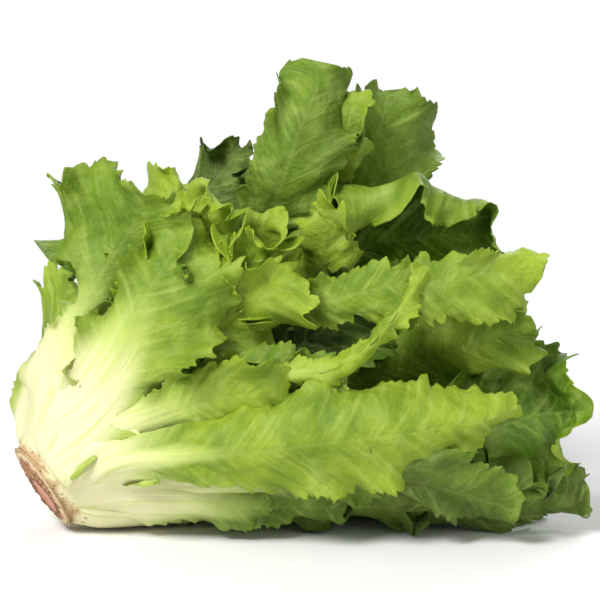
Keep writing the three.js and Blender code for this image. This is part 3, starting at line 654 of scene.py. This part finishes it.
def build_leaf(leaf, surface, shift):
    """Mesh of one leaf: the inner and the outer sheet, joined round the rim."""
    right, left = surface["index"]
    count = len(surface["inner"])
    rim = np.concatenate([right[0], right[1:, -1], left[-2::-1, -1], left[0, -2:0:-1]])
    ahead = np.roll(rim, -1)
    faces = np.vstack([
        surface["quads"],
        surface["quads"][:, ::-1] + count,
        quads_of(ahead, rim, rim + count, ahead + count),
    ])
    points = np.vstack([surface["inner"], surface["outer"]]) + shift
    flat = np.tile(np.stack([surface["x"], surface["y"]], -1), (2, 1))
    values = {key: np.tile(surface[key], 2) for key in ("pale", "white", "part")}
    values.update(outer=np.repeat([0.0, 1.0], count), tone=leaf["tone"], seed=leaf["seed"])
    return make_object(leaf["name"] + "_look", points, faces, flat[faces], values)


def make_object(name, points, faces, flat, values):
    """A smooth mesh object from millimetre points and quads, with a flat map and values for the shader.

    A value is one number for the whole piece, or one for each point.
    """
    mesh = bpy.data.meshes.new(name)
    mesh.vertices.add(len(points))
    mesh.vertices.foreach_set("co", (points * MM).astype(np.float32).ravel())
    mesh.loops.add(faces.size)
    mesh.loops.foreach_set("vertex_index", faces.astype(np.int32).ravel())
    mesh.polygons.add(len(faces))
    mesh.polygons.foreach_set("loop_start", np.arange(0, faces.size, 4, dtype=np.int32))
    mesh.update(calc_edges=True)
    mesh.polygons.foreach_set("use_smooth", np.ones(len(faces), bool))
    layer = mesh.uv_layers.new(name="flat")
    layer.data.foreach_set("uv", (flat / FLAT_SCALE).astype(np.float32).ravel())
    for key, value in values.items():
        each = np.broadcast_to(value, len(points)).astype(np.float32)
        mesh.attributes.new(key, "FLOAT", "POINT").data.foreach_set("value", each)
    piece = bpy.data.objects.new(name, mesh)
    bpy.context.scene.collection.objects.link(piece)
    return piece


# ---- fused base ----
def blur(grid, sigma, wrap):
    """Gaussian blur along axis 1 (wrap) or axis 0."""
    reach = int(3 * sigma) + 1
    weights = np.exp(-0.5 * (np.arange(-reach, reach + 1) / sigma) ** 2)
    weights /= weights.sum()
    which = 1 if wrap else 0
    padding = [(0, 0), (0, 0)]
    padding[which] = (reach, reach)
    padded = np.pad(grid, padding, mode="wrap" if wrap else "edge")
    return np.apply_along_axis(lambda line: np.convolve(line, weights, "valid"), which, padded)


def base_radius(surfaces):
    """Radius of the fused foot by height and azimuth, drawn over the stalks and smoothed most at the cut."""
    grid = np.zeros((BASE_RINGS + 1, BASE_SIDES))
    for surface in surfaces:
        place = surface["outer"] - CUT_CENTRE
        height = place @ axis
        radius = np.hypot(place @ frontward, place @ upward)
        azimuth = np.arctan2(place @ upward, place @ frontward)
        ring = np.round(height / BASE_LENGTH * BASE_RINGS).astype(int)
        spoke = np.round(azimuth / TURN * BASE_SIDES).astype(int) % BASE_SIDES
        near = (ring >= 0) & (ring <= BASE_RINGS) & (radius < BASE_REACH)
        np.maximum.at(grid, (ring[near], spoke[near]), radius[near])

    # cells that no stalk fell into take the radius of the cells beside them
    for _ in range(3):
        spread = np.maximum(np.roll(grid, 1, 1), np.roll(grid, -1, 1))
        spread[1:] = np.maximum(spread[1:], grid[:-1])
        spread[:-1] = np.maximum(spread[:-1], grid[1:])
        grid = np.where(grid > 0, grid, spread)
    height = np.linspace(0.0, BASE_LENGTH, BASE_RINGS + 1)[:, None]
    grid = np.maximum(grid, LEAST_BASE_RADIUS)
    soft, sharp = (blur(blur(grid, size[0], True), size[1], False) for size in (SOFT_BLUR, SHARP_BLUR))
    mixed = soft + (sharp - soft) * smooth(8.0, 34.0, height)
    mixed = mixed + BASE_SKIN - BASE_SINK * smooth(18.0, BASE_LENGTH - 4.0, height)
    return BASE_RADIUS + (mixed - BASE_RADIUS) * smooth(-2.0, 13.0, height)


def ring_grid(rings, sides):
    """Vertex numbers of rings laid one after another, and the same numbers moved on by one side."""
    grid = np.arange(rings * sides).reshape(rings, sides)
    return grid, np.roll(grid, -1, axis=1)


def ring_cap(ring):
    """Fills a ring of vertices with quads, strip by strip."""
    half = len(ring) // 2
    return np.array([(ring[i], ring[i + 1], ring[-i - 2], ring[-i - 1]) for i in range(half - 1)])


def build_base(surfaces, shift):
    """The white mass where all stalks grow together, closed by a cone inside the head."""
    radius = base_radius(surfaces)
    height = np.linspace(0.0, BASE_LENGTH, BASE_RINGS + 1)
    heights = np.concatenate([[1.2, 0.3], height, BASE_LENGTH + np.array([8.0, 16.0, 24.0])])
    start = np.stack([radius[0] * 0.4, radius[0] - 1.0])
    rounding = RIM_ROUNDING * np.exp(-height / 4.0) * (height < 12.0)
    inside = np.linspace(0.6, 0.1, 3)[:, None] * radius[-1]
    radii = np.vstack([start, radius - rounding[:, None], inside])

    # the rings start below, where the seam of the flat map is out of sight
    azimuth = -90.0 + np.arange(BASE_SIDES) * 360.0 / BASE_SIDES
    radii = np.roll(radii, BASE_SIDES // 4, axis=1)
    points = CUT_CENTRE + axis * heights[:, None, None] + around(azimuth) * radii[..., None]
    points = points.reshape(-1, 3)
    points[:, 2] = np.maximum(points[:, 2], LEAST_HEIGHT)
    grid, after = ring_grid(*radii.shape)
    faces = quads_of(grid[:-1], after[:-1], after[1:], grid[1:])
    faces = np.vstack([faces, ring_cap(grid[0][::-1]), ring_cap(grid[-1])])

    step = TURN * BASE_RADIUS / BASE_SIDES
    left = np.stack(np.meshgrid(np.arange(BASE_SIDES) * step, heights), -1)
    right = left + (step, 0.0)
    flat = np.stack([left[:-1], right[:-1], right[1:], left[1:]], 2).reshape(-1, 4, 2)
    flat = np.vstack([flat, np.zeros((len(faces) - len(flat), 4, 2))])
    white = 1.0 - smooth(24.0, 105.0, np.repeat(heights, BASE_SIDES))
    values = {"pale": 1.0, "white": white, "part": 0.0, "outer": 1.0, "tone": BASE_TONE, "seed": BASE_SEED}
    return make_object("stump_look", points + shift, faces, flat, values)


def build_cut_face(shift):
    """The browned cut: a low plug with a rough scab around a smooth pith."""
    reach = np.linspace(0.02, 1.0, CUT_RINGS)[:, None] * CUT_RADIUS
    azimuth = np.arange(CUT_SIDES) * 360.0 / CUT_SIDES
    u = reach * np.cos(np.radians(azimuth))
    v = reach * np.sin(np.radians(azimuth))
    pith = np.hypot((u - PITH_CENTRE[0]) / PITH_SIZE[0], (v - PITH_CENTRE[1]) / PITH_SIZE[1])
    rough = value_noise(u, v, 2.4, 7) + 0.6 * value_noise(u, v, 1.1, 8)
    crust = smooth(0.95, 1.15, pith) * (1.0 - smooth(SCAB_RADIUS - 2.0, SCAB_RADIUS + 1.5, reach))
    out = CUT_BULGE * (1.0 - (reach / CUT_RADIUS) ** 2) + SCAB_ROUGHNESS * rough * crust
    out -= PITH_DEPTH * (1.0 - smooth(0.75, 1.1, pith)) - PITH_LIP * np.exp(-(((pith - 1.15) / 0.18) ** 2))
    out += 0.25 * value_noise(u, v, 6.0, 9)
    top = CUT_CENTRE + around(azimuth) * reach[..., None] - axis * (out + 0.2)[..., None]
    side = CUT_CENTRE + around(azimuth)[None] * (CUT_RADIUS * 0.97) + axis * 2.5
    points = np.concatenate([top, side]).reshape(-1, 3)
    points[:, 2] = np.maximum(points[:, 2], LEAST_HEIGHT)
    grid, after = ring_grid(CUT_RINGS + 1, CUT_SIDES)
    faces = quads_of(grid[:-1], grid[1:], after[1:], after[:-1])
    faces = np.vstack([faces, ring_cap(grid[0]), ring_cap(grid[-1][::-1])])
    flat = np.stack([u, v], -1)
    flat = np.concatenate([flat, flat[-1:]]).reshape(-1, 2)
    return make_object("cut_face_look", points + shift, faces, flat[faces], {})


# ---- colours ----
def colour(red, green, blue):
    """Linear colour from the usual 0 to 255 values."""
    shares = [value / 255.0 for value in (red, green, blue)]
    return tuple(s / 12.92 if s <= 0.04 else ((s + 0.055) / 1.055) ** 2.4 for s in shares) + (1.0,)


# inner faces get a darker green: partly the real darker upper side of a leaf, partly painted shade for the
# hollows that they face
INNER_DARKENING = 0.3
DEEP_GREEN = colour(44, 70, 12)
MID_GREEN = colour(106, 144, 16)
LIGHT_GREEN = colour(182, 206, 50)
UNDERSIDE_GREEN = colour(146, 170, 66)
# colour of the pale veins, and of the painted sheen on the blades
VEIN_AND_SHEEN_GREEN = colour(188, 210, 112)
STALK_GREEN = colour(206, 220, 124)
STALK_WHITE = colour(234, 229, 184)
CUT_CREAM = colour(226, 203, 162)
SCAB_LIGHT = colour(190, 146, 104)
SCAB_BROWN = colour(132, 84, 50)
SPECK_BROWN = colour(84, 48, 28)
PITH_PINK = colour(196, 122, 98)
PITH_PALE = colour(218, 160, 132)
FLOOR_COLOUR = colour(246, 246, 246)
WHITE = (1.0, 1.0, 1.0, 1.0)


# ---- materials ----
class Graph:
    """Writes the node tree of a material or of the world as expressions."""

    def __init__(self, owner):
        owner.use_nodes = True
        self.owner = owner
        self.tree = owner.node_tree
        self.tree.nodes.clear()

    def add(self, kind, inputs=(), **settings):
        node = self.tree.nodes.new(kind)
        for key, value in settings.items():
            setattr(node, key, value)
        for key, value in dict(inputs).items():
            if isinstance(value, bpy.types.NodeSocket):
                self.tree.links.new(value, node.inputs[key])
            else:
                node.inputs[key].default_value = value
        return node

    def maths(self, operation, *values):
        return self.add("ShaderNodeMath", dict(enumerate(values)), operation=operation).outputs[0]

    def chain(self, operation, values):
        """The same operation on all the values, one after another."""
        result = values[0]
        for value in values[1:]:
            result = self.maths(operation, result, value)
        return result

    def plus(self, *values):
        return self.chain("ADD", values)

    def times(self, *values):
        return self.chain("MULTIPLY", values)

    def largest(self, *values):
        return self.chain("MAXIMUM", values)

    def minus(self, first, second):
        return self.maths("SUBTRACT", first, second)

    def vectors(self, operation, first, second):
        return self.add("ShaderNodeVectorMath", {0: first, 1: second}, operation=operation).outputs[0]

    def length(self, vector):
        return self.add("ShaderNodeVectorMath", {0: vector}, operation="LENGTH").outputs["Value"]

    def mix(self, factor, first, second):
        node = self.add("ShaderNodeMix", {0: factor, 6: first, 7: second}, data_type="RGBA")
        return node.outputs[2]

    def between(self, value, low, high, to_low=0.0, to_high=1.0):
        inputs = {0: value, 1: low, 2: high, 3: to_low, 4: to_high}
        return self.add("ShaderNodeMapRange", inputs, interpolation_type="SMOOTHSTEP").outputs[0]

    def noise(self, vector, scale, detail=2.0):
        inputs = {"Vector": vector, "Scale": scale, "Detail": detail}
        return self.add("ShaderNodeTexNoise", inputs).outputs[0]

    def swing(self, vector, scale, detail=2.0):
        """Noise about zero."""
        return self.minus(self.noise(vector, scale, detail), 0.5)

    def cells(self, vector, scale):
        """Distance to the edges of a net."""
        inputs = {"Vector": vector, "Scale": scale}
        return self.add("ShaderNodeTexVoronoi", inputs, feature="DISTANCE_TO_EDGE").outputs[0]

    def dots(self, vector, scale, low, high, most=1.0):
        """Scattered round dots that fade between two distances from their centres."""
        inputs = {"Vector": vector, "Scale": scale}
        distance = self.add("ShaderNodeTexVoronoi", inputs).outputs["Distance"]
        return self.between(distance, low, high, most, 0.0)

    def value(self, name):
        return self.add("ShaderNodeAttribute", attribute_name=name).outputs[2]

    def bump(self, height, distance):
        inputs = {"Strength": 0.8, "Distance": distance, "Height": height}
        return self.add("ShaderNodeBump", inputs).outputs[0]

    def flat_map(self):
        return self.add("ShaderNodeUVMap", uv_map="flat").outputs[0]

    def combine(self, x, y):
        """A vector whose third value keeps the patterns of the leaves apart."""
        apart = self.times(self.value("seed"), 40.0)
        return self.add("ShaderNodeCombineXYZ", {0: x, 1: y, 2: apart}).outputs[0]

    def blend(self, share, first, second):
        """From one shader to another."""
        inputs = {0: share, 1: first.outputs[0], 2: second.outputs[0]}
        return self.add("ShaderNodeMixShader", inputs).outputs[0]

    def finish(self, surface):
        self.add("ShaderNodeOutputMaterial", {0: surface})
        return self.owner


def vein_lines(g, x, y, place, white):
    """Lines of the midrib, side veins and nets, then the larger net and the pleats along the side veins."""
    across = g.maths("ABSOLUTE", x)
    side = g.times(g.maths("SIGN", x), 0.25 * VEIN_PITCH)
    rise = g.minus(g.plus(y, side), g.times(across, PLEAT_SLOPE))
    step = g.maths("DIVIDE", g.plus(rise, g.times(g.swing(place, 0.045), 26.0)), VEIN_PITCH)
    off = g.maths("ABSOLUTE", g.minus(g.maths("FRACT", step), 0.5))
    thin = g.between(across, 0.0, 40.0, 0.055, 0.02)
    side_vein = g.minus(1.0, g.maths("MINIMUM", g.maths("DIVIDE", off, thin), 1.0))
    net = g.cells(place, 0.11)
    lines = g.largest(
        g.times(side_vein, 0.45),
        g.between(net, 0.0, 0.06, 0.14, 0.0),
        g.between(g.cells(place, 0.3), 0.0, 0.1, 0.1, 0.0),
        g.times(g.between(across, 0.3, 1.5, 1.0, 0.0), g.between(white, 0.0, 1.0, 0.3, 1.0)),
    )
    flow = g.combine(g.times(rise, 0.22), g.times(across, 0.035))
    return lines, net, g.swing(flow, 1.0, 4.0)


def blade_colour(g, place, white, outer, lines, pleat):
    """Green by the leaf's tone, uneven in three sizes, paler on veins, and lighter at the margin: partly
    real, partly painted light on the rims.
    """
    tone = g.plus(
        g.value("tone"),
        g.times(g.swing(place, 0.02, 3.0), 1.25),
        g.times(g.swing(place, 0.09, 3.0), 0.6),
        g.times(pleat, 0.55),
        # lighter towards the margin: partly the real thin rim, partly painted light on rims that catch the
        # lamp
        g.between(g.value("part"), 0.7, 1.0, 0.0, 0.14),
        # darker on the inner face: partly real, partly painted shade for the hollows
        g.times(g.minus(outer, 1.0), INNER_DARKENING),
    )
    ramp = g.add("ShaderNodeValToRGB", {0: tone})
    stops = ramp.color_ramp.elements
    stops[0].position, stops[0].color = 0.0, DEEP_GREEN
    stops[1].position, stops[1].color = 1.0, LIGHT_GREEN
    stops.new(0.5).color = MID_GREEN
    blade = g.mix(g.times(white, 0.75), ramp.outputs[0], STALK_GREEN)
    blade = g.mix(g.times(outer, 0.3), blade, UNDERSIDE_GREEN)
    blade = g.mix(g.times(lines, 0.45), blade, VEIN_AND_SHEEN_GREEN)
    # pale patches, and pale streaks along the pleats, are painted sheen in the vein colour
    painted_sheen = g.between(g.noise(place, 0.08, 5.0), 0.48, 0.72, 0.0, 0.3)
    return g.mix(g.plus(painted_sheen, g.between(pleat, 0.02, 0.2, 0.0, 0.3)), blade, VEIN_AND_SHEEN_GREEN)


def stalk_marks(g, surface, y, place, pale):
    """Blemishes on the pale stalks, and the scab that spreads a little over the rim of the cut."""
    blemish = g.times(g.dots(place, 0.16, 0.1, 0.22, 0.6), g.between(g.noise(place, 0.03), 0.62, 0.68))
    surface = g.mix(g.times(blemish, pale), surface, SCAB_BROWN)
    rim = g.plus(y, g.times(g.swing(place, 0.12, 4.0), 13.0))
    stain = g.between(rim, *RIM_STAIN, 0.8, 0.0)
    surface = g.mix(g.times(stain, pale), surface, SCAB_LIGHT)
    specks = g.times(
        g.dots(place, 0.6, 0.16, 0.36),
        g.between(rim, *RIM_SPECKS, 1.0, 0.0),
        g.between(g.noise(place, 0.5), 0.4, 0.55),
    )
    return g.mix(g.times(specks, pale), surface, SPECK_BROWN)


def leaf_material():
    """Green blade with a pale net of veins, running into a white ribbed stalk."""
    g = Graph(bpy.data.materials.new("lettuce_leaf"))
    parts = g.add("ShaderNodeSeparateXYZ", {0: g.flat_map()})
    x, y = (g.times(parts.outputs[k], FLAT_SCALE) for k in (0, 1))
    place = g.combine(x, y)
    pale = g.value("pale")
    white = g.value("white")
    blade = g.minus(1.0, pale)
    lines, net, pleat = vein_lines(g, x, y, place, white)
    lines = g.times(lines, blade)
    streaks = g.add("ShaderNodeMapping", {0: place, 3: (0.35, 0.02, 1.0)}).outputs[0]
    streak = g.noise(streaks, 1.0, 3.0)

    stalk = g.mix(white, STALK_GREEN, STALK_WHITE)
    stalk = g.mix(g.between(streak, 0.45, 0.75, 0.0, 0.5), stalk, LIGHT_GREEN)
    green = blade_colour(g, place, white, g.value("outer"), lines, pleat)
    surface = stalk_marks(g, g.mix(pale, green, stalk), y, place, pale)
    height = g.plus(
        g.times(lines, -0.7),
        g.times(g.noise(place, 1.2, 3.0), 0.25),
        g.times(g.maths("MINIMUM", net, 0.3), blade),
        g.times(pleat, blade, 1.6),
        g.times(streak, pale, 2.0),
        g.times(g.noise(place, 0.16, 5.0), blade, 3.4),
    )
    normal = g.bump(height, LEAF_BUMP)
    principled = g.add("ShaderNodeBsdfPrincipled", {
        "Base Color": surface,
        "Roughness": g.between(g.noise(place, 0.4), 0.3, 0.7, 0.46, 0.62),
        "Normal": normal,
        "Specular IOR Level": 0.3,
    })
    through = g.add("ShaderNodeBsdfTranslucent", {"Color": surface, "Normal": normal})
    share = g.times(g.minus(1.0, g.times(pale, 0.8)), SEE_THROUGH)
    return g.finish(g.blend(share, principled, through))


def cut_material():
    """Cream cut stalks around a speckled brown scab and a pink pith."""
    g = Graph(bpy.data.materials.new("cut_face"))
    place = g.vectors("MULTIPLY", g.flat_map(), (FLAT_SCALE,) * 3)
    spread = g.times(g.swing(place, 0.25, 4.0), 7.0)
    edge = g.plus(g.length(place), spread)
    scab = g.between(edge, SCAB_RADIUS - 2.5, SCAB_RADIUS + 0.5, 1.0, 0.0)
    wide = g.between(edge, SCAB_RADIUS, SCAB_RADIUS + 5.0, 1.0, 0.0)
    centred = g.vectors("SUBTRACT", place, (*PITH_CENTRE, 0.0))
    pith_reach = g.length(g.vectors("DIVIDE", centred, (*PITH_SIZE, 1.0)))
    pith = g.between(g.plus(pith_reach, g.times(spread, 0.04)), 0.85, 1.05, 1.0, 0.0)
    specks = g.times(g.dots(place, 0.55, 0.18, 0.32), g.between(g.noise(place, 0.35), 0.42, 0.55))
    ring = g.times(g.between(pith_reach, 0.85, 1.05), g.between(pith_reach, 1.1, 1.35, 1.0, 0.0))

    crust = g.mix(g.between(g.noise(place, 0.7, 5.0), 0.35, 0.65), SCAB_BROWN, SCAB_LIGHT)
    surface = g.mix(scab, CUT_CREAM, crust)
    surface = g.mix(g.times(specks, wide), surface, SPECK_BROWN)
    surface = g.mix(pith, surface, g.mix(g.noise(place, 0.5, 4.0), PITH_PINK, PITH_PALE))
    surface = g.mix(g.times(ring, 0.6), surface, SPECK_BROWN)
    height = g.minus(g.noise(place, 1.0, 5.0), g.times(specks, 0.5))
    principled = g.add("ShaderNodeBsdfPrincipled", {
        "Base Color": surface,
        "Roughness": g.mix(pith, (0.8, 0.8, 0.8, 1.0), (0.5, 0.5, 0.5, 1.0)),
        "Normal": g.bump(height, CUT_BUMP),
    })
    return g.finish(principled.outputs[0])


# ---- stage ----
def aim(name, data, place, target):
    """Adds a camera or lamp that looks from its place to the target."""
    thing = bpy.data.objects.new(name, data)
    thing.location = place
    thing.rotation_euler = (Vector(target) - Vector(place)).to_track_quat("-Z", "Y").to_euler()
    bpy.context.scene.collection.objects.link(thing)
    return thing


def build_camera(target):
    elevation = math.radians(VIEW_ELEVATION)
    data = bpy.data.cameras.new("camera")
    data.sensor_width = SENSOR_WIDTH
    data.lens = SENSOR_WIDTH * VIEW_DISTANCE / VIEW_WIDTH
    back = Vector((0.0, -math.cos(elevation), math.sin(elevation)))
    bpy.context.scene.camera = aim("camera", data, Vector(target) + back * VIEW_DISTANCE, target)


def build_lamp(name, place, target, size, power):
    data = bpy.data.lights.new(name, "AREA")
    data.shape = "DISK"
    data.size = size
    data.energy = power
    aim(name, data, place, target)


def seen_straight(g):
    """1 for rays that show the white background itself: from the camera, in gloss and through glass."""
    rays = g.add("ShaderNodeLightPath").outputs
    return g.largest(rays["Is Camera Ray"], rays["Is Glossy Ray"], rays["Is Transmission Ray"])


def build_floor():
    """White floor that takes the shadow near the head. Further out it turns into the plain background."""
    bpy.ops.mesh.primitive_plane_add(size=FLOOR_SIZE)
    floor = bpy.context.object
    floor.name = "floor"
    g = Graph(bpy.data.materials.new("floor"))
    reach = g.length(g.add("ShaderNodeTexCoord").outputs["Object"])
    far = g.times(g.between(reach, *FLOOR_FADE), seen_straight(g))
    diffuse = g.add("ShaderNodeBsdfDiffuse", {"Color": FLOOR_COLOUR})
    glow = g.add("ShaderNodeEmission", {"Color": WHITE, "Strength": 1.0})
    floor.data.materials.append(g.finish(g.blend(far, diffuse, glow)))


def build_world():
    """Background that is seen as white, but lights the head less than that."""
    world = bpy.data.worlds.new("studio")
    g = Graph(world)
    strength = g.add("ShaderNodeMapRange", {0: seen_straight(g), 3: WORLD_LIGHT, 4: 1.0}).outputs[0]
    background = g.add("ShaderNodeBackground", {0: WHITE, 1: strength})
    g.add("ShaderNodeOutputWorld", {0: background.outputs[0]})
    bpy.context.scene.world = world


# ---- the head ----
shift = frame_shift()
leaf_green = leaf_material()
surfaces = {}
for leaf in LEAVES:
    surfaces[leaf["name"]] = leaf_surface(leaf)
    piece = build_leaf(leaf, surfaces[leaf["name"]], shift)
    piece.data.materials.append(leaf_green)
    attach(piece, "root")
    if leaf["name"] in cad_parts:
        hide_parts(leaf["name"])

base = build_base(list(surfaces.values()), shift)
base.data.materials.append(leaf_green)
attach(base, "root")
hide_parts("stump")
cut_face = build_cut_face(shift)
cut_face.data.materials.append(cut_material())
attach(cut_face, "root")

centre = np.array(VIEW_TARGET) * MM + shift * MM
build_camera(centre)
build_floor()
build_world()
for name, (place, size, power) in LAMPS.items():
    build_lamp(name, place, centre, size, power)
bpy.context.scene.view_settings.view_transform = "Standard"
